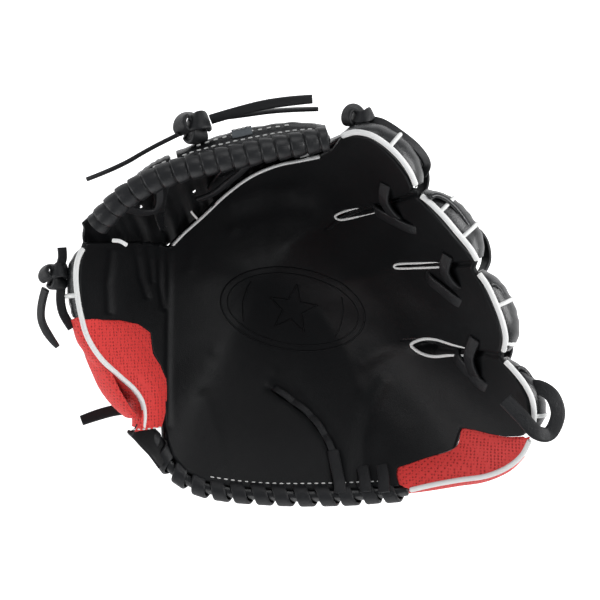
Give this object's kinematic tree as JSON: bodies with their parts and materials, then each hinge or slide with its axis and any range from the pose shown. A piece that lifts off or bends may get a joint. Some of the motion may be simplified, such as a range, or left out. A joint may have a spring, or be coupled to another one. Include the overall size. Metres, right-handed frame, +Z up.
{
  "type": "baseball glove",
  "caption": "Fielder's baseball glove lying on its back, pocket up: laced leather palm and finger stalls, folding web with a wrapped rail, hinged thumb, mesh side panels",
  "frame": {"origin": "centre of the footprint on the surface the glove lies on, free lace ends left out", "axes": "+Z up out of the open pocket, +Y from the heel towards the web and index tip, +X from the thumb towards the little finger"},
  "size_m": [0.2629, 0.2092, 0.1461],
  "materials": {
    "black_leather": "satin",
    "black_lace": "matte",
    "white_welting": "satin",
    "red_mesh": "matte",
    "lining": "matte",
    "felt_pad": "matte"
  },
  "bodies": {
    "palm": {"hand_back": "black_leather", "heel_lace": "black_lace", "heel_roll": "black_leather", "index_back": "black_leather", "index_knot": "black_lace", "index_lace": "black_lace", "index_liner": "lining", "index_welting": "white_welting", "lace_index_middle": "black_lace", "lace_middle_ring": "black_lace", "lace_ring_pinky": "black_lace", "middle_back": "black_leather", "middle_liner": "lining", "middle_welting": "white_welting", "palm_emblem": "black_leather", "palm_lace": "black_lace", "palm_lining": "lining", "palm_pad": "felt_pad", "palm_shell": "black_leather", "pinky_back": "black_leather", "pinky_liner": "lining", "pinky_loop_lace": "black_lace", "pinky_mesh_back": "red_mesh", "pinky_mesh_front": "red_mesh", "pinky_side_welting": "white_welting", "pinky_welting": "white_welting", "ring_back": "black_leather", "ring_liner": "lining", "ring_welting": "white_welting", "slit_binding_index": "white_welting", "slit_binding_middle": "white_welting", "slit_binding_ring": "white_welting", "web_seam_welting": "white_welting", "wrist_lining": "lining", "wrist_strap": "black_leather", "wrist_tail": "black_lace"},
    "thumb": {"thumb_back": "black_leather", "thumb_front": "black_leather", "thumb_knot": "black_lace", "thumb_liner": "lining", "thumb_mesh_back": "red_mesh", "thumb_mesh_front": "red_mesh", "thumb_tail": "black_lace", "thumb_welting": "white_welting"},
    "web_finger_half": {"rail_core_finger": "black_leather", "rail_wrap_finger": "black_lace", "web_finger_panel": "black_leather", "web_finger_post": "black_leather", "web_lace_finger": "black_lace", "web_back_finger": "black_leather", "web_knot": "black_lace", "web_tail_left": "black_lace", "web_tail_upper": "black_lace", "web_tail_lower": "black_lace"},
    "web_thumb_half": {"rail_core_thumb": "black_leather", "rail_wrap_thumb": "black_lace", "web_thumb_panel": "black_leather", "web_thumb_post": "black_leather", "web_lace_thumb": "black_lace", "web_back_thumb": "black_leather"}
  },
  "joints": [
    {"name": "thumb_close", "type": "hinge", "parent": "palm", "child": "thumb", "pos_m": [-0.06898, -0.01511, 0.06081], "axis": [0, 0.9864, -0.1644], "range_deg": [0, 12]},
    {"name": "web_seam_fold", "type": "hinge", "parent": "palm", "child": "web_finger_half", "pos_m": [-0.06658, 0.03439, 0.05481], "axis": [0.6846, 0.3894, 0.6162], "range_deg": [-22.1, 0]},
    {"name": "web_middle_fold", "type": "hinge", "parent": "web_finger_half", "child": "web_thumb_half", "pos_m": [-0.06708, 0.03589, 0.05681], "axis": [0.1337, 0.3401, 0.9308], "range_deg": [0, 45]}
  ],
  "couplings": [
    {"joint": "web_seam_fold", "follows": "thumb_close", "ratio": -1.84},
    {"joint": "web_middle_fold", "follows": "thumb_close", "ratio": 3.75}
  ]
}
